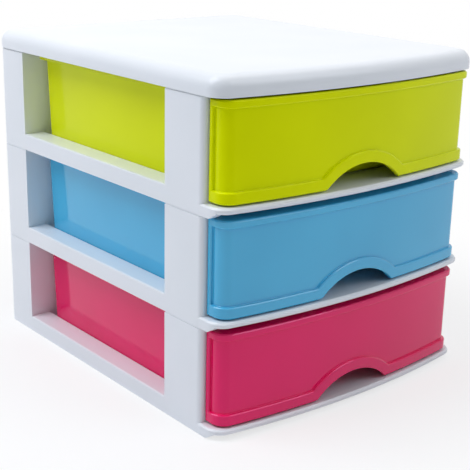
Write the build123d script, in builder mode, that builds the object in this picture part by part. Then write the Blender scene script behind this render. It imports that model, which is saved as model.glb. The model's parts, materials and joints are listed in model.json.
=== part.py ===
from build123d import *

import os
from math import radians, tan

# Stacking desktop drawer tower: a cover, three stacked frames and three sliding drawers.
# Millimetres. X is the width, the drawers open towards -Y, and Z is up. The origin is on
# the surface that the tower stands on, under the middle of its outer box.

# ---------------------------------------------------------------- driving sizes
# Whole tower
TIER_NAMES = ("lower", "middle", "upper")
BODY_WIDTH = 230.0
BODY_DEPTH = 252.0
BODY_HEIGHT = 232.5

# Walls and seats of the white mouldings
SKIN = 2.4
RIB = 1.8
SEAT_PLAY = 0.3

# Frame: rails, posts and windows
SILL_HEIGHT = 12.0
RAIL_DEPTH = 15.8
FRONT_POST_LENGTH = 38.0
FRONT_POST_DEPTH = 7.5
REAR_POST_LENGTH = 36.0
REAR_POST_DEPTH = 25.0
FRONT_CORNER_RADIUS = 3.5
REAR_CORNER_RADIUS = 8.0
SILL_EDGE_RADIUS = 1.2
SPIGOT_HEIGHT = 4.0
SEAM_DEPTH = 0.4
SEAM_HEIGHT = 0.8

# Frame: deck and bowed front lip
DECK_TOP = 7.5
DECK_THICKNESS = 2.5
LIP_THICKNESS = 4.0
LIP_BEAD_WIDTH = 3.0
LIP_END_REACH = 16.5
LIP_BOW = 10.5
LIP_CORNER_RADIUS = 12.0
LIP_EDGE = 1.2
FOOT_REACH = 6.5
RAMP_LENGTH = 5.5
RUNNER_HEIGHT = 0.8
RUNNER_WIDTH = 4.0
RUNNER_SPACING = 140.0
RUNNER_END_GAP = 12.0
DECK_RIB_DEPTH = 2.0
DECK_RIB_COUNT = 3
DECK_RIB_SPACING = 52.0

# Cover
COVER_HEIGHT = 13.5
COVER_OVERHANG = 0.8
COVER_END_REACH = 13.7
COVER_BOW = 11.0
COVER_FRONT_RADIUS = 13.0
COVER_REAR_RADIUS = 10.0
COVER_EDGE_RADIUS = 9.0

# Drawer: box
DRAWER_WALL = 1.8
DRAWER_FLOOR = 2.0
DRAWER_RUNNING_GAP = 0.2
DRAWER_TOP_GAP = 1.2
DRAWER_SIDE_GAP = 0.7
DRAWER_DRAFT = 1.9
DRAWER_CORNER_RADIUS = 9.0
DRAWER_FLOOR_EDGE = 1.5
DRAWER_REAR_GAP = 1.0
RIM_WIDTH = 5.5
RIM_REAR_WIDTH = 2.5
RIM_HEIGHT = 3.5
RIM_THICKNESS = 1.8

# Drawer: bowed front
FRONT_STAND_OFF = 1.0
FRONT_SIDE_INSET = 4.2
FRONT_END_REACH = 15.6
FRONT_BOW = 8.9
FRONT_CORNER_RADIUS_PLAN = 10.5
FRONT_WALL = 2.0
FRONT_EDGE = 0.9
RECESS_DEPTH = 2.0
RECESS_EDGE = 0.7
RECESS_CORNER_RADIUS = 3.0
TOP_BAND = 5.0
BOTTOM_BAND = 7.8
END_STRIP = 3.0
NOTCH_WIDTH = 67.0
NOTCH_HEIGHT = 14.0
NOTCH_BLEND_RADIUS = 4.0
FRONT_RIB_SPACING = 96.0

# Pull-out stop between a drawer's rear tab and a rib under the deck or cover above it
STOP_RIB_SETBACK = 20.0
STOP_RIB_CLEARANCE = 0.5
STOP_RIB_WIDTH = 120.0
STOP_TAB_WIDTH = 40.0
STOP_TAB_RISE = 1.6
STOP_PLAY = 0.4

# ---------------------------------------------------------------- worked-out places
HALF_WIDTH = BODY_WIDTH / 2
FRONT_REACH = max(LIP_END_REACH + LIP_BOW, COVER_END_REACH + COVER_BOW)
FACE_Y = (FRONT_REACH - BODY_DEPTH - COVER_OVERHANG) / 2
REAR_Y = FACE_Y + BODY_DEPTH
MIDDLE_Y = (FACE_Y + REAR_Y) / 2
SILL_FRONT_Y = FACE_Y + FRONT_POST_LENGTH
JAMB_Y = REAR_Y - REAR_POST_LENGTH
STACK_TOP = BODY_HEIGHT - COVER_HEIGHT
TIER_PITCH = STACK_TOP / len(TIER_NAMES)
LIP_BOTTOM = DECK_TOP - LIP_THICKNESS
DECK_BOTTOM = DECK_TOP - DECK_THICKNESS
STOP_RIB_Y = FACE_Y + STOP_RIB_SETBACK

DRAWER_BOTTOM = DECK_TOP + RUNNER_HEIGHT + DRAWER_RUNNING_GAP
DRAWER_TOP = TIER_PITCH - DRAWER_TOP_GAP
DRAWER_HEIGHT = DRAWER_TOP - DRAWER_BOTTOM
DRAFT_SPREAD = DRAWER_HEIGHT * tan(radians(DRAWER_DRAFT))
BOX_BASE_HALF = HALF_WIDTH - RAIL_DEPTH - DRAWER_SIDE_GAP
BOX_TOP_HALF = BOX_BASE_HALF + DRAFT_SPREAD
DRAWER_REAR_Y = JAMB_Y - DRAWER_REAR_GAP
BOX_REAR_Y = DRAWER_REAR_Y - RIM_REAR_WIDTH
BOX_FRONT_Y = FACE_Y
FRONT_BACK_Y = FACE_Y - FRONT_STAND_OFF
FRONT_HALF = HALF_WIDTH - FRONT_SIDE_INSET
FRONT_END_Y = FACE_Y - FRONT_END_REACH
STOP_TAB_Y = BOX_REAR_Y - DRAWER_WALL / 2
NOTCH_RADIUS = (NOTCH_WIDTH**2 / 4 + NOTCH_HEIGHT**2) / (2 * NOTCH_HEIGHT)
NOTCH_CENTRE_Z = DRAWER_BOTTOM + NOTCH_HEIGHT - NOTCH_RADIUS
DRAWER_TRAVEL = STOP_TAB_Y - STOP_RIB_Y - (DRAWER_WALL + RIB) / 2 - STOP_PLAY


def bowed_face(half_width, rear_y, end_y, bow, corner_radius):
    """Add a plan outline to the current sketch: square at the rear, its front an arc
    bowed towards -Y, with rounded front corners."""
    with BuildSketch(Plane.XY, mode=Mode.PRIVATE) as outline:
        with BuildLine():
            Polyline(
                (-half_width, end_y),
                (-half_width, rear_y),
                (half_width, rear_y),
                (half_width, end_y),
            )
            ThreePointArc((half_width, end_y), (0, end_y - bow), (-half_width, end_y))
        make_face()
        fillet(outline.vertices().sort_by(Axis.Y)[:2], corner_radius)
    add(outline.sketch)


def box_between(low, high, mode=Mode.ADD):
    """Add a block to the current part between two corners."""
    with BuildSketch(Plane.XY.offset(low[2])) as base:
        with Locations(((low[0] + high[0]) / 2, (low[1] + high[1]) / 2)):
            Rectangle(high[0] - low[0], high[1] - low[1])
    extrude(base.sketch, amount=high[2] - low[2], mode=mode)


def make_lip_plate():
    """The deck with its bowed, blunted front lip: a plate with a bead along its edge."""
    with BuildPart() as plate:
        with BuildSketch(Plane.XY.offset(LIP_BOTTOM)):
            bowed_face(
                HALF_WIDTH, JAMB_Y, FACE_Y - LIP_END_REACH, LIP_BOW, LIP_CORNER_RADIUS
            )
        extrude(amount=LIP_THICKNESS)
        front = plate.edges().filter_by(lambda e: e.center().Y < FACE_Y - FOOT_REACH)
        rims = front.filter_by(lambda e: abs((e @ 0).Z - (e @ 1).Z) < LIP_THICKNESS / 2)
        chamfer(rims, LIP_EDGE)
        with BuildSketch(Plane.XY.offset(LIP_BOTTOM)):
            bowed_face(
                HALF_WIDTH - LIP_BEAD_WIDTH,
                JAMB_Y,
                FACE_Y - LIP_END_REACH + LIP_BEAD_WIDTH,
                LIP_BOW,
                LIP_CORNER_RADIUS - LIP_BEAD_WIDTH,
            )
        extrude(amount=DECK_BOTTOM - LIP_BOTTOM, mode=Mode.SUBTRACT)
    return plate.part


def make_corner_feet():
    """The rails' front ends: they run on under the lip, then ramp up to its underside."""
    ramp_end = FACE_Y - FOOT_REACH - RAMP_LENGTH
    with BuildPart() as feet:
        with BuildSketch():
            bowed_face(
                HALF_WIDTH, FACE_Y + SKIN, FACE_Y - LIP_END_REACH, LIP_BOW, LIP_CORNER_RADIUS
            )
            with Locations((0, FACE_Y)):
                Rectangle(
                    BODY_WIDTH - 2 * FRONT_POST_DEPTH, 2 * FRONT_REACH, mode=Mode.SUBTRACT
                )
        extrude(amount=DECK_BOTTOM)
        with BuildSketch(Plane.YZ.offset(-HALF_WIDTH)):
            with BuildLine():
                Polyline(
                    (FACE_Y - FOOT_REACH, 0),
                    (ramp_end, LIP_BOTTOM),
                    (ramp_end, DECK_BOTTOM),
                    (FACE_Y - FRONT_REACH, DECK_BOTTOM),
                    (FACE_Y - FRONT_REACH, 0),
                    close=True,
                )
            make_face()
        extrude(amount=BODY_WIDTH, mode=Mode.SUBTRACT)
    return feet.part


def frame_footprint(inset):
    """Add the frame's plan outline, less a wall, to the current sketch."""
    with BuildSketch(Plane.XY, mode=Mode.PRIVATE) as outline:
        with Locations((0, MIDDLE_Y)):
            Rectangle(BODY_WIDTH - 2 * inset, BODY_DEPTH - 2 * inset)
        fillet(outline.vertices().sort_by(Axis.Y)[:2], FRONT_CORNER_RADIUS - inset)
        fillet(outline.vertices().sort_by(Axis.Y)[-2:], REAR_CORNER_RADIUS - inset)
    add(outline.sketch)


def post_section(inset):
    """Add the four corner posts' plan outlines, less a wall, to the current sketch."""
    with BuildSketch(Plane.XY, mode=Mode.PRIVATE) as posts:
        frame_footprint(inset)
        sill_length = JAMB_Y - SILL_FRONT_Y + 2 * inset
        with Locations((0, (SILL_FRONT_Y + JAMB_Y) / 2)):
            Rectangle(BODY_WIDTH, sill_length, mode=Mode.SUBTRACT)
        with Locations((0, FACE_Y)):
            Rectangle(
                BODY_WIDTH - 2 * FRONT_POST_DEPTH + 2 * inset,
                2 * SILL_FRONT_Y - 2 * FACE_Y,
                mode=Mode.SUBTRACT,
            )
        with Locations((0, REAR_Y)):
            Rectangle(
                BODY_WIDTH - 2 * REAR_POST_DEPTH + 2 * inset,
                2 * REAR_POST_LENGTH,
                mode=Mode.SUBTRACT,
            )
    add(posts.sketch)


def rail_section(inset):
    """Add the plan outline of the side and rear rails, less a wall, to the current sketch."""
    with BuildSketch(Plane.XY, mode=Mode.PRIVATE) as rails:
        frame_footprint(inset)
        with Locations((0, MIDDLE_Y - RAIL_DEPTH + inset)):
            Rectangle(
                BODY_WIDTH - 2 * RAIL_DEPTH + 2 * inset, BODY_DEPTH, mode=Mode.SUBTRACT
            )
    add(rails.sketch)


def make_frame():
    """One tier: deck and lip, hollow rails on three sides, and a hollow post at each corner."""
    plate = make_lip_plate()
    feet = make_corner_feet()
    rail_inside = HALF_WIDTH - RAIL_DEPTH
    with BuildPart() as frame:
        # Rails and posts, set back a little at the seam under the next tier, then the deck
        with BuildSketch():
            rail_section(0)
        extrude(amount=SILL_HEIGHT)
        with BuildSketch():
            post_section(0)
        extrude(amount=TIER_PITCH - SEAM_HEIGHT)
        with BuildSketch(Plane.XY.offset(TIER_PITCH - SEAM_HEIGHT)):
            post_section(SEAM_DEPTH)
        extrude(amount=SEAM_HEIGHT)
        sills = frame.edges().filter_by(Axis.Y).filter_by(
            lambda e: abs(e.center().Z - SILL_HEIGHT) < SEAT_PLAY
            and abs(abs(e.center().X) - HALF_WIDTH) < SEAT_PLAY
        )
        fillet(sills, SILL_EDGE_RADIUS)
        add(plate)
        add(feet)
        box_between(
            (-rail_inside, SILL_FRONT_Y, DECK_BOTTOM),
            (rail_inside, REAR_Y - RAIL_DEPTH, DECK_TOP),
        )

        # The rails and posts are open from below
        with BuildSketch():
            rail_section(SKIN)
        extrude(amount=SILL_HEIGHT - SKIN, mode=Mode.SUBTRACT)
        with BuildSketch():
            post_section(SKIN)
        extrude(amount=TIER_PITCH - SKIN, mode=Mode.SUBTRACT)

        # Spigots that locate the next tier or the cover
        with BuildSketch(Plane.XY.offset(TIER_PITCH)):
            post_section(SKIN + SEAT_PLAY)
        extrude(amount=SPIGOT_HEIGHT)

        # Runners on the deck
        with BuildSketch(Plane.XY.offset(DECK_TOP)):
            runner_length = JAMB_Y - FACE_Y - 2 * RUNNER_END_GAP
            with Locations((0, (FACE_Y + JAMB_Y) / 2)):
                with GridLocations(RUNNER_SPACING, 0, 2, 1):
                    Rectangle(RUNNER_WIDTH, runner_length)
        extrude(amount=RUNNER_HEIGHT)

        # Stiffening ribs and the drawer stop under the deck
        with BuildSketch(Plane.XY.offset(DECK_BOTTOM - DECK_RIB_DEPTH)):
            with Locations((0, MIDDLE_Y)):
                with GridLocations(0, DECK_RIB_SPACING, 1, DECK_RIB_COUNT):
                    Rectangle(2 * rail_inside + RIB, RIB)
        extrude(amount=DECK_RIB_DEPTH)
        stop_rib(DECK_BOTTOM)
    return frame.part


def stop_rib(top):
    """Add the rib that a drawer's tab meets: it hangs from a plate's underside at top."""
    box_between(
        (-STOP_RIB_WIDTH / 2, STOP_RIB_Y - RIB / 2, STOP_RIB_CLEARANCE),
        (STOP_RIB_WIDTH / 2, STOP_RIB_Y + RIB / 2, top),
    )


def cover_outline(inset):
    """Add the cover's plan outline, less a wall, to the current sketch."""
    with BuildSketch(Plane.XY, mode=Mode.PRIVATE) as outline:
        bowed_face(
            HALF_WIDTH + COVER_OVERHANG - inset,
            REAR_Y + COVER_OVERHANG - inset,
            FACE_Y - COVER_END_REACH + inset,
            COVER_BOW,
            COVER_FRONT_RADIUS - inset,
        )
        fillet(outline.vertices().sort_by(Axis.Y)[-2:], COVER_REAR_RADIUS - inset)
    add(outline.sketch)


def make_cover():
    """The top cover: a shallow inverted tray with well-rounded outer edges."""
    ceiling = COVER_HEIGHT - SKIN
    with BuildPart() as cavity:
        with BuildSketch():
            cover_outline(SKIN)
        extrude(amount=ceiling)
        chamfer(cavity.faces().sort_by(Axis.Z)[-1].edges(), (COVER_EDGE_RADIUS - SKIN) / 2)
    with BuildPart() as cover:
        with BuildSketch():
            cover_outline(0)
        extrude(amount=COVER_HEIGHT)
        fillet(cover.faces().sort_by(Axis.Z)[-1].edges(), COVER_EDGE_RADIUS)
        add(cavity.part, mode=Mode.SUBTRACT)
        with BuildSketch(Plane.XY.offset(ceiling - DECK_RIB_DEPTH)):
            with Locations((0, MIDDLE_Y)):
                with GridLocations(0, DECK_RIB_SPACING, 1, DECK_RIB_COUNT):
                    Rectangle(2 * BOX_TOP_HALF, RIB)
        extrude(amount=DECK_RIB_DEPTH)
        stop_rib(ceiling)
    return cover.part


def make_box_blank(wall, base):
    """A tapered block with rounded corners: the drawer box's outside, or its hollow."""
    back_off = (DRAWER_TOP - base) * tan(radians(DRAWER_DRAFT)) + wall
    front = BOX_FRONT_Y + back_off
    rear = BOX_REAR_Y - back_off
    with BuildPart() as blank:
        with BuildSketch(Plane.XY.offset(base)):
            with Locations((0, (front + rear) / 2)):
                RectangleRounded(
                    2 * BOX_TOP_HALF - 2 * back_off, rear - front, DRAWER_CORNER_RADIUS - back_off
                )
        extrude(amount=DRAWER_TOP - base, taper=-DRAWER_DRAFT)
        chamfer(blank.faces().sort_by(Axis.Z)[0].edges(), DRAWER_FLOOR_EDGE)
    return blank.part


def face_view(low, high, arch_radius, blend):
    """Add, in a front view sketch, a band from low to high with the finger arch cut out."""
    with BuildSketch(Plane.XZ, mode=Mode.PRIVATE) as view:
        with Locations((0, (low + high) / 2)):
            Rectangle(2 * BODY_WIDTH, high - low)
        with Locations((0, NOTCH_CENTRE_Z)):
            Circle(arch_radius, mode=Mode.SUBTRACT)
        arch_ends = view.vertices().filter_by(
            lambda v: abs(v.Z - low) < SEAT_PLAY and abs(v.X) < FRONT_HALF / 2
        )
        fillet(arch_ends, blend)
    add(view.sketch)


def front_outline(inset):
    """Add the drawer front's plan outline, less a wall, to the current sketch."""
    bowed_face(
        FRONT_HALF - inset,
        FRONT_BACK_Y,
        FRONT_END_Y + inset,
        FRONT_BOW,
        FRONT_CORNER_RADIUS_PLAN - inset,
    )


def make_recess_cutter():
    """What is taken off the front's outside to leave the raised bands round the panel."""
    low = DRAWER_BOTTOM + BOTTOM_BAND
    high = DRAWER_TOP - TOP_BAND
    with BuildPart() as cutter:
        with BuildSketch(Plane.XZ.offset(END_STRIP - FRONT_BACK_Y)):
            face_view(low, high, NOTCH_RADIUS + BOTTOM_BAND, RECESS_CORNER_RADIUS)
        extrude(amount=2 * FRONT_REACH)
        with BuildSketch(Plane.XY.offset(low)):
            front_outline(RECESS_DEPTH)
        extrude(amount=high - low, mode=Mode.SUBTRACT)
    return cutter.part


def make_front():
    """The drawer's bowed front: a shell open below and behind, with an arched finger notch."""
    wall = FRONT_WALL + RECESS_DEPTH
    recess = make_recess_cutter()
    with BuildPart() as half_depth:
        with BuildSketch(Plane.XY):
            front_outline(RECESS_DEPTH / 2)
        extrude(amount=TIER_PITCH)
    skin_core = half_depth.part.solid()
    with BuildPart() as notch:
        with BuildSketch(Plane.XZ.offset(-REAR_Y)):
            face_view(DRAWER_BOTTOM, DRAWER_TOP, NOTCH_RADIUS, NOTCH_BLEND_RADIUS)
        extrude(amount=BODY_DEPTH + 2 * FRONT_REACH)
    with BuildPart() as front:
        with BuildSketch(Plane.XY.offset(DRAWER_BOTTOM)):
            front_outline(0)
        extrude(amount=DRAWER_HEIGHT)
        outer = front.edges().filter_by(lambda e: e.center().Y < FRONT_BACK_Y - SEAT_PLAY)
        chamfer(outer.filter_by(lambda e: abs((e @ 0).Z - (e @ 1).Z) < FRONT_EDGE), FRONT_EDGE)
        add(notch.part, mode=Mode.INTERSECT)
        add(recess, mode=Mode.SUBTRACT)
        recess_edges = front.edges(Select.LAST)
        chamfer(
            recess_edges.filter_by(lambda e: not skin_core.is_inside(e @ 0.5)), RECESS_EDGE
        )
        with BuildSketch(Plane.XY.offset(DRAWER_BOTTOM)):
            bowed_face(
                FRONT_HALF - wall,
                FRONT_BACK_Y + wall,
                FRONT_END_Y + wall,
                FRONT_BOW,
                FRONT_CORNER_RADIUS_PLAN - wall,
            )
        extrude(amount=DRAWER_HEIGHT - DRAWER_FLOOR, mode=Mode.SUBTRACT)
    return front.part


def make_drawer():
    """One drawer: tapered box with a turned-down rim, bowed front, and a rear stop tab."""
    outside = make_box_blank(0, DRAWER_BOTTOM)
    hollow = make_box_blank(DRAWER_WALL, DRAWER_BOTTOM + DRAWER_FLOOR)
    front = make_front()
    rim_half = BOX_TOP_HALF + RIM_WIDTH
    rim_middle = (FRONT_BACK_Y + DRAWER_REAR_Y) / 2
    rim_length = DRAWER_REAR_Y - FRONT_BACK_Y
    rim_radius = DRAWER_CORNER_RADIUS + RIM_REAR_WIDTH
    with BuildPart() as drawer:
        # Rim: a flat flange with a turned-down edge
        with BuildSketch(Plane.XY.offset(DRAWER_TOP - RIM_HEIGHT)) as rim:
            with Locations((0, rim_middle)):
                Rectangle(2 * rim_half, rim_length)
            fillet(rim.vertices().sort_by(Axis.Y)[-2:], rim_radius)
        extrude(amount=RIM_HEIGHT)
        with BuildSketch(Plane.XY.offset(DRAWER_TOP - RIM_HEIGHT)) as groove:
            with Locations((0, rim_middle)):
                Rectangle(2 * rim_half - 2 * RIM_THICKNESS, rim_length - 2 * RIM_THICKNESS)
            fillet(groove.vertices().sort_by(Axis.Y)[-2:], rim_radius - RIM_THICKNESS)
        extrude(amount=RIM_HEIGHT - RIM_THICKNESS, mode=Mode.SUBTRACT)

        # Bowed front and the ribs that tie it to the box
        add(front)
        for offset in (-FRONT_RIB_SPACING / 2, FRONT_RIB_SPACING / 2):
            box_between(
                (offset - RIB / 2, FRONT_END_Y, DRAWER_BOTTOM + BOTTOM_BAND),
                (offset + RIB / 2, BOX_FRONT_Y + DRAFT_SPREAD + DRAWER_WALL / 2, DRAWER_TOP),
            )

        # Box, hollowed after everything that meets it
        add(outside)
        add(hollow, mode=Mode.SUBTRACT)

        # Rear stop tab
        box_between(
            (-STOP_TAB_WIDTH / 2, STOP_TAB_Y - DRAWER_WALL / 2, DRAWER_TOP - RIM_THICKNESS),
            (STOP_TAB_WIDTH / 2, STOP_TAB_Y + DRAWER_WALL / 2, TIER_PITCH + STOP_TAB_RISE),
        )
    return drawer.part


def export_at(shape, height, label):
    """Write one finished piece at its height in the stack."""
    with BuildPart(Plane.XY.offset(height)) as piece:
        add(shape)
    piece.part.label = label
    export_step(piece.part, f"parts/{label}.step")


os.makedirs("parts", exist_ok=True)
tier_frame = make_frame()
tier_drawer = make_drawer()
for tier, name in enumerate(TIER_NAMES):
    export_at(tier_frame, tier * TIER_PITCH, f"tier_frame_{name}")
    export_at(tier_drawer, tier * TIER_PITCH, f"drawer_{name}")
export_at(make_cover(), STACK_TOP, "top_cover")
print(f"drawer travel {DRAWER_TRAVEL:.1f} mm, face_y {FACE_Y:.2f}, rear_y {REAR_Y:.2f}")
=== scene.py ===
"""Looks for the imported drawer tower: moulded polypropylene finishes, soft studio and camera.

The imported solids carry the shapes. Each white or coloured moulding is shown by a fine copy of
its own solid, whose sharp edges are rounded as a mould leaves them.
"""

from __future__ import annotations

import json
import logging
import math
from dataclasses import dataclass, field
from enum import Enum

import bmesh
import bpy
from mathutils import Matrix, Vector

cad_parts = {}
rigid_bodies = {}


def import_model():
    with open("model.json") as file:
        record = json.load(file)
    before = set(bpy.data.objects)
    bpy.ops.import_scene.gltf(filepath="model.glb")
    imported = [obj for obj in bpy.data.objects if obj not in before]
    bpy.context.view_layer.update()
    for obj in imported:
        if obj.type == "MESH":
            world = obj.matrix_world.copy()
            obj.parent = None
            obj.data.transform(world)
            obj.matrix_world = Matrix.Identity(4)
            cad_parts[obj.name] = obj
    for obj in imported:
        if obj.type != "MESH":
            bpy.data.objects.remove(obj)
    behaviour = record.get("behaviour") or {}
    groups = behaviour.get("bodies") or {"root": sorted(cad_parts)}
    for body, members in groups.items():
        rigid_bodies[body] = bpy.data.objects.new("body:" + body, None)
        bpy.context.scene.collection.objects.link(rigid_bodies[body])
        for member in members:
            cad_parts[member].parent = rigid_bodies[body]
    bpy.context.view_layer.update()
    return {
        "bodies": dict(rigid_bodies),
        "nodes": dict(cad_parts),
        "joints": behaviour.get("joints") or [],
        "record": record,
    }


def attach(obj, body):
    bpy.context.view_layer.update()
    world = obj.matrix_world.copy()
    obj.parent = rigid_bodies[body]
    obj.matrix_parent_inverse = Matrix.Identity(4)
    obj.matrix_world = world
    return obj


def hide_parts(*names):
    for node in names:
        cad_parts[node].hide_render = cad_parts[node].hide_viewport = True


LOG = logging.getLogger("drawer_tower")
MM = 0.001
PLAIN_WHITE = (1.0, 1.0, 1.0, 1.0)
# Sockets of the Mix node when it mixes colours.
MIX_FIRST = 6
MIX_SECOND = 7
MIX_RESULT = 2


class Tier(Enum):
    """The three tiers of the tower, from the bottom up."""

    LOWER = "lower"
    MIDDLE = "middle"
    UPPER = "upper"


def linear_rgba(hex_code: str) -> tuple[float, float, float, float]:
    """Turn an sRGB hex colour into Blender's linear colour.

    Args:
        hex_code: Six hex digits, such as "C3D200".

    Returns:
        Red, green, blue and alpha, linear.
    """
    # The standard sRGB curve: a straight foot, then a power.
    channels = [int(hex_code[i : i + 2], 16) / 255 for i in (0, 2, 4)]
    linear = [c / 12.92 if c <= 0.04045 else ((c + 0.055) / 1.055) ** 2.4 for c in channels]
    return (linear[0], linear[1], linear[2], 1.0)


def add_node(
    tree: bpy.types.NodeTree,
    kind: str,
    settings: dict[str, object] | None = None,
    links: dict[str, bpy.types.NodeSocket] | None = None,
) -> bpy.types.Node:
    """Add a shader node with its settings and links.

    Args:
        tree: The node tree that gets the node.
        kind: The node's type name.
        settings: Property names, or input socket names, and their values.
        links: Input socket names and the output sockets that feed them.

    Returns:
        The new node.
    """
    node = tree.nodes.new(kind)
    for name, value in (settings or {}).items():
        if name in node.inputs:
            node.inputs[name].default_value = value
        else:
            setattr(node, name, value)
    for name, source in (links or {}).items():
        tree.links.new(source, node.inputs[name])
    return node


@dataclass(frozen=True)
class MouldedPolypropylene:
    """Injection-moulded polypropylene.

    Polished steel tools leave a close, even gloss with a very faint waviness, and the slightly
    cloudy resin lets a little light in, so that the colour looks deep rather than painted.
    """

    slot: str
    colour: str
    deep_colour: str
    gloss_tint: str
    roughness: float
    cloudiness: float
    waviness: float
    # Refraction of the resin, set higher on the blue and the magenta for a stronger gloss.
    ior: float = 1.49
    # Strength of the surface's reflection, where 0.5 is what the refraction alone gives.
    gloss: float = 0.5
    # Flow of the melt: broad, faint changes of tone, about 60 mm across.
    flow_scale: float = 16.0
    # Waviness of the polished tool, about 12 mm from crest to crest.
    wave_scale: float = 85.0
    # Fine satin of the skin, about 0.6 mm, drawn coarser than it is so that it shows.
    grain_scale: float = 1600.0
    # Detail of the three patterns, and how rough the flow's own detail is.
    flow_detail: float = 2.0
    flow_roughness: float = 0.4
    wave_detail: float = 0.0
    grain_detail: float = 1.0
    # The part of the flow's noise over which the tone changes.
    tone_start: float = 0.3
    tone_end: float = 0.7
    # How much the flow brightens and dulls the gloss, as shares of the roughness.
    brightest: float = 0.85
    dullest: float = 1.15
    # Heights of the tool's waves and of the satin skin, and how far the skin shows.
    wave_height: float = 0.02 * MM
    grain_height: float = 0.01 * MM
    grain_strength: float = 0.06
    # How far light spreads inside the cloudy resin, the same for all colours.
    light_spread: float = 1.5 * MM
    spread_by_colour: tuple[float, float, float] = (1.0, 1.0, 1.0)

    def material(self) -> bpy.types.Material:
        """Build the finish.

        Returns:
            The material, made once and found by its name afterwards.
        """
        name = f"moulded_{self.slot}"
        found = bpy.data.materials.get(name)
        if found:
            return found
        material = bpy.data.materials.new(name)
        material.use_nodes = True
        tree = material.node_tree
        tree.nodes.clear()
        coords = add_node(tree, "ShaderNodeTexCoord").outputs["Object"]
        flow = add_node(
            tree,
            "ShaderNodeTexNoise",
            {
                "Scale": self.flow_scale,
                "Detail": self.flow_detail,
                "Roughness": self.flow_roughness,
            },
            {"Vector": coords},
        )
        flow_tone = add_node(
            tree,
            "ShaderNodeMapRange",
            {"From Min": self.tone_start, "From Max": self.tone_end},
            {"Value": flow.outputs["Fac"]},
        )
        colour = add_node(
            tree,
            "ShaderNodeMix",
            {"data_type": "RGBA"},
            {"Factor": flow_tone.outputs["Result"]},
        )
        colour.inputs[MIX_FIRST].default_value = linear_rgba(self.colour)
        colour.inputs[MIX_SECOND].default_value = linear_rgba(self.deep_colour)
        grain = add_node(
            tree,
            "ShaderNodeTexNoise",
            {"Scale": self.grain_scale, "Detail": self.grain_detail},
            {"Vector": coords},
        )
        roughness = add_node(
            tree,
            "ShaderNodeMapRange",
            {
                "To Min": self.roughness * self.brightest,
                "To Max": self.roughness * self.dullest,
            },
            {"Value": flow.outputs["Fac"]},
        )
        wave = add_node(
            tree,
            "ShaderNodeTexNoise",
            {"Scale": self.wave_scale, "Detail": self.wave_detail},
            {"Vector": coords},
        )
        wave_bump = add_node(
            tree,
            "ShaderNodeBump",
            {"Strength": self.waviness, "Distance": self.wave_height},
            {"Height": wave.outputs["Fac"]},
        )
        skin_bump = add_node(
            tree,
            "ShaderNodeBump",
            {"Strength": self.grain_strength, "Distance": self.grain_height},
            {"Height": grain.outputs["Fac"], "Normal": wave_bump.outputs["Normal"]},
        )
        shader = add_node(
            tree,
            "ShaderNodeBsdfPrincipled",
            {
                "IOR": self.ior,
                "Specular IOR Level": self.gloss,
                "Specular Tint": linear_rgba(self.gloss_tint),
                "Subsurface Weight": self.cloudiness,
                "Subsurface Scale": self.light_spread,
                "Subsurface Radius": self.spread_by_colour,
            },
            {
                "Base Color": colour.outputs[MIX_RESULT],
                "Roughness": roughness.outputs["Result"],
                "Normal": skin_bump.outputs["Normal"],
            },
        )
        output = add_node(tree, "ShaderNodeOutputMaterial")
        tree.links.new(shader.outputs["BSDF"], output.inputs["Surface"])
        return material


# Satin white with a faint cool cast: its highlights are broad and soft.
WHITE = MouldedPolypropylene(
    "white_polypropylene",
    "E7EBEF",
    "E3E8EC",
    "FFFFFF",
    roughness=0.30,
    cloudiness=0.08,
    waviness=0.3,
)
# Strong lime: hardly any blue comes back from it, so its weak gloss looks yellow too.
LIME = MouldedPolypropylene(
    "lime_polypropylene",
    "E3EE00",
    "DDE800",
    "FFFF30",
    roughness=0.10,
    cloudiness=0.05,
    waviness=0.3,
    gloss=0.22,
)
# Polished sky blue: its highlights are clear and white.
BLUE = MouldedPolypropylene(
    "blue_polypropylene",
    "3FB6E2",
    "38AFDC",
    "FFFFFF",
    roughness=0.08,
    cloudiness=0.05,
    waviness=0.3,
    ior=1.6,
)
# Polished magenta: its highlights are clear and a little pink.
MAGENTA = MouldedPolypropylene(
    "magenta_polypropylene",
    "EC0260",
    "E6005A",
    "FFBCE6",
    roughness=0.08,
    cloudiness=0.05,
    waviness=0.3,
    ior=1.6,
)
DRAWER_FINISH = {Tier.LOWER: MAGENTA, Tier.MIDDLE: BLUE, Tier.UPPER: LIME}


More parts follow.
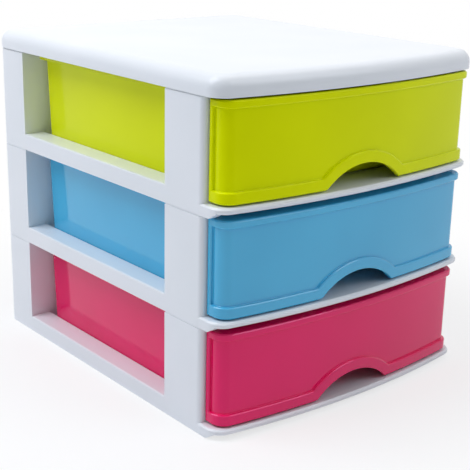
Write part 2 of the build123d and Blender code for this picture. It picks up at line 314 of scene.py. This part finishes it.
@dataclass
class MouldedPiece:
    """One moulding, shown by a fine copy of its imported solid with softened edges."""

    node: str
    body: str
    finish: MouldedPolypropylene
    edge_radius: float = 0.35 * MM
    edge_segments: int = 2
    # Edges that turn by more than the sharp angle are rounded.
    sharp_angle: float = math.radians(32)
    # Facets that turn by less than the flat angle are joined.
    flat_angle: float = math.radians(0.4)
    # Corners closer than this are one corner.
    weld_distance: float = 0.002 * MM

    @property
    def name(self) -> str:
        """The shown piece's name."""
        return f"{self.node}_moulding"

    def merged_copy(self, source: bpy.types.Object) -> bpy.types.Object:
        """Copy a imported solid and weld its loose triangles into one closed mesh.

        Args:
            source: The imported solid.

        Returns:
            The new object, at the origin.
        """
        mesh = bpy.data.meshes.new(self.name)
        work = bmesh.new()
        work.from_mesh(source.data)
        bmesh.ops.remove_doubles(work, verts=work.verts, dist=self.weld_distance)
        bmesh.ops.dissolve_limit(
            work,
            angle_limit=self.flat_angle,
            verts=work.verts,
            edges=work.edges,
            use_dissolve_boundaries=False,
            delimit=set(),
        )
        work.to_mesh(mesh)
        work.free()
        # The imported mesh's own shading would not follow the rounded edges.
        for attribute in ("custom_normal", "UVMap"):
            if attribute in mesh.attributes:
                mesh.attributes.remove(mesh.attributes[attribute])
        piece = bpy.data.objects.new(self.name, mesh)
        bpy.context.scene.collection.objects.link(piece)
        return piece

    def soften_edges(self, piece: bpy.types.Object) -> None:
        """Round the sharp edges, as the mould leaves them, and shade the rest smooth.

        Args:
            piece: The merged copy.
        """
        bevel = piece.modifiers.new("mould_radius", "BEVEL")
        bevel.width = self.edge_radius
        bevel.segments = self.edge_segments
        bevel.limit_method = "ANGLE"
        bevel.angle_limit = self.sharp_angle
        bevel.use_clamp_overlap = True
        bevel.harden_normals = True
        bevel.miter_outer = "MITER_ARC"
        piece.data.shade_smooth()

    def build(self, frame: dict[str, dict]) -> bpy.types.Object:
        """Make the piece, dress it and put it on its body.


        Returns:
            The shown piece.
        """
        source = frame["nodes"][self.node]
        dress(source, self.finish)
        piece = self.merged_copy(source)
        self.soften_edges(piece)
        dress(piece, self.finish)
        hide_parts(self.node)
        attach(piece, self.body)
        LOG.info("%s: %d faces on %s", piece.name, len(piece.data.polygons), self.body)
        return piece


def dress(target: bpy.types.Object, finish: MouldedPolypropylene) -> None:
    """Give an object one finish all over.

    Args:
        target: The object.
        finish: Its finish.
    """
    target.data.materials.clear()
    target.data.materials.append(finish.material())


@dataclass
class Stack:
    """The white mouldings: three frames and the cover, which stay together."""

    body: str = "tower"
    finish: MouldedPolypropylene = WHITE

    def build(self, frame: dict[str, dict]) -> list[bpy.types.Object]:
        """Build the frames and the cover.


        Returns:
            The shown pieces.
        """
        nodes = [f"tier_frame_{tier.value}" for tier in Tier] + ["top_cover"]
        return [MouldedPiece(node, self.body, self.finish).build(frame) for node in nodes]


@dataclass
class Drawer:
    """One sliding drawer."""

    tier: Tier
    # Rounder than the white mouldings: the bands of its front catch a bright line of light.
    edge_radius: float = 0.5 * MM

    def build(self, frame: dict[str, dict]) -> list[bpy.types.Object]:
        """Build the drawer.


        Returns:
            The shown pieces.
        """
        name = self.tier.value
        moulding = MouldedPiece(
            f"drawer_{name}", f"{name}_drawer", DRAWER_FINISH[self.tier], self.edge_radius
        )
        return [moulding.build(frame)]


@dataclass
class SoftBox:
    """A rectangular studio lamp."""

    name: str
    place: tuple[float, float, float]
    target: tuple[float, float, float]
    width: float
    height: float
    power: float
    tint: str = "FFFFFF"

    def build(self) -> bpy.types.Object:
        """Put the lamp in the scene, facing its target.

        Returns:
            The lamp.
        """
        lamp = bpy.data.lights.new(self.name, "AREA")
        lamp.shape = "RECTANGLE"
        lamp.size = self.width
        lamp.size_y = self.height
        lamp.energy = self.power
        lamp.color = linear_rgba(self.tint)[:3]
        holder = bpy.data.objects.new(self.name, lamp)
        holder.location = self.place
        aim = Vector(self.target) - Vector(self.place)
        holder.rotation_euler = aim.to_track_quat("-Z", "Y").to_euler()
        bpy.context.scene.collection.objects.link(holder)
        return holder


@dataclass
class Studio:
    """Pale floor, pale surroundings and soft boxes."""

    # Half the floor's side, and the colour of its paper.
    floor_reach: float = 3.0
    floor_grey: str = "F4F5F7"
    # The floor's share of plain white: some of the shadow stays near the tower, none far off.
    near_wash: float = 0.7
    far_wash: float = 1.0
    wash_start: float = 0.18
    wash_end: float = 0.42
    # Soft light from all sides, in the tint of a bright overcast room.
    fill_strength: float = 0.26
    fill_tint: str = "EEF3FA"
    # One lamp over the cover, one for the open left side and one for the drawers' fronts.
    lamps: list[SoftBox] = field(
        default_factory=lambda: [
            SoftBox("top_box", (0.1, 0.1, 1.4), (0.0, 0.0, 0.2), 1.4, 1.4, 8.2, "FFFAF4"),
            SoftBox("left_box", (-0.89, 0.47, 1.38), (0.0, 0.0, 0.1), 1.0, 1.0, 16.2, "F2F5FF"),
            SoftBox("right_box", (0.75, -1.15, 1.2), (0.0, -0.1, 0.1), 0.9, 0.9, 6.5, "F2F5FF"),
        ]
    )

    def white_to_camera(
        self, tree: bpy.types.NodeTree, shown: bpy.types.NodeSocket, lit: bpy.types.NodeSocket
    ) -> bpy.types.NodeSocket:
        """Mix two shaders: one for camera, mirror and clear-view rays, one for the rest.

        Args:
            tree: The node tree.
            shown: The shader that the camera, reflections and clear parts see.
            lit: The shader that lights the object.

        Returns:
            The mixed shader's output.
        """
        path = add_node(tree, "ShaderNodeLightPath")
        seen = path.outputs["Is Camera Ray"]
        for ray in ("Is Glossy Ray", "Is Transmission Ray"):
            either = add_node(tree, "ShaderNodeMath", {"operation": "MAXIMUM"})
            tree.links.new(seen, either.inputs[0])
            tree.links.new(path.outputs[ray], either.inputs[1])
            seen = either.outputs[0]
        mix = add_node(tree, "ShaderNodeMixShader", None, {"Fac": seen})
        tree.links.new(lit, mix.inputs[1])
        tree.links.new(shown, mix.inputs[2])
        return mix.outputs[0]

    def build_world(self) -> None:
        """Make the surroundings: soft grey light, white where they are seen."""
        world = bpy.data.worlds.new("studio_air")
        world.use_nodes = True
        tree = world.node_tree
        tree.nodes.clear()
        shown = add_node(tree, "ShaderNodeBackground", {"Color": PLAIN_WHITE, "Strength": 1.0})
        lit = add_node(
            tree,
            "ShaderNodeBackground",
            {"Color": linear_rgba(self.fill_tint), "Strength": self.fill_strength},
        )
        mixed = self.white_to_camera(tree, shown.outputs[0], lit.outputs[0])
        output = add_node(tree, "ShaderNodeOutputWorld")
        tree.links.new(mixed, output.inputs["Surface"])
        bpy.context.scene.world = world

    def build_floor(self) -> bpy.types.Object:
        """Make the floor that the tower stands on.

        Returns:
            The floor.
        """
        work = bmesh.new()
        bmesh.ops.create_grid(work, x_segments=1, y_segments=1, size=self.floor_reach)
        mesh = bpy.data.meshes.new("studio_floor")
        work.to_mesh(mesh)
        work.free()
        floor = bpy.data.objects.new("studio_floor", mesh)
        bpy.context.scene.collection.objects.link(floor)
        material = bpy.data.materials.new("matt_paper")
        material.use_nodes = True
        tree = material.node_tree
        tree.nodes.clear()
        paper = add_node(tree, "ShaderNodeBsdfDiffuse", {"Color": linear_rgba(self.floor_grey)})
        white = add_node(tree, "ShaderNodeEmission", {"Color": PLAIN_WHITE, "Strength": 1.0})
        place = add_node(tree, "ShaderNodeTexCoord").outputs["Object"]
        reach = add_node(tree, "ShaderNodeVectorMath", {"operation": "LENGTH"}, {"Vector": place})
        wash = add_node(
            tree,
            "ShaderNodeMapRange",
            {
                "interpolation_type": "SMOOTHSTEP",
                "From Min": self.wash_start,
                "From Max": self.wash_end,
                "To Min": self.near_wash,
                "To Max": self.far_wash,
            },
            {"Value": reach.outputs["Value"]},
        )
        washed = add_node(tree, "ShaderNodeMixShader", None, {"Fac": wash.outputs["Result"]})
        tree.links.new(paper.outputs[0], washed.inputs[1])
        tree.links.new(white.outputs[0], washed.inputs[2])
        mixed = self.white_to_camera(tree, washed.outputs[0], paper.outputs[0])
        output = add_node(tree, "ShaderNodeOutputMaterial")
        tree.links.new(mixed, output.inputs["Surface"])
        mesh.materials.append(material)
        return floor

    def build(self) -> None:
        """Build floor, surroundings and lamps."""
        self.build_world()
        self.build_floor()
        for lamp in self.lamps:
            lamp.build()
            LOG.info("lamp %s", lamp.name)


@dataclass
class PhotoCamera:
    """The camera, at the photograph's viewing angle."""

    # Metres and degrees, from a fit of the tower's edges to the photograph.
    place: tuple[float, float, float] = (-0.493, -0.599, 0.328)
    heading: float = 39.76
    dip: float = 17.43
    roll: float = 1.29
    focal_pixels: float = 1066.0
    frame_pixels: float = 470.0
    sensor_mm: float = 36.0
    nearest: float = 0.01

    def build(self) -> bpy.types.Object:
        """Put the camera in the scene and make it the active one.

        Returns:
            The camera.
        """
        yaw, pitch, roll = (math.radians(a) for a in (self.heading, self.dip, self.roll))
        ahead = Vector(
            (math.sin(yaw) * math.cos(pitch), math.cos(yaw) * math.cos(pitch), -math.sin(pitch))
        )
        level = Vector((math.cos(yaw), -math.sin(yaw), 0.0))
        upright = level.cross(ahead)
        right = level * math.cos(roll) + upright * math.sin(roll)
        up = upright * math.cos(roll) - level * math.sin(roll)
        lens = bpy.data.cameras.new("photo_camera")
        lens.sensor_width = self.sensor_mm
        lens.lens = self.focal_pixels / self.frame_pixels * self.sensor_mm
        lens.clip_start = self.nearest
        camera = bpy.data.objects.new("photo_camera", lens)
        turn = Matrix((right, up, -ahead)).transposed()
        camera.matrix_world = Matrix.Translation(self.place) @ turn.to_4x4()
        bpy.context.scene.collection.objects.link(camera)
        bpy.context.scene.camera = camera
        return camera


def main() -> None:
    """Build the tower's looks, the studio and the camera."""
    logging.basicConfig(level=logging.INFO, format="%(message)s")
    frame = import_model()
    bpy.context.scene.view_settings.view_transform = "Standard"
    PhotoCamera().build()
    pieces = Stack().build(frame)
    for tier in Tier:
        pieces += Drawer(tier).build(frame)
    Studio().build()
    LOG.info("%d pieces shown", len(pieces))


if __name__ == "__main__":
    main()
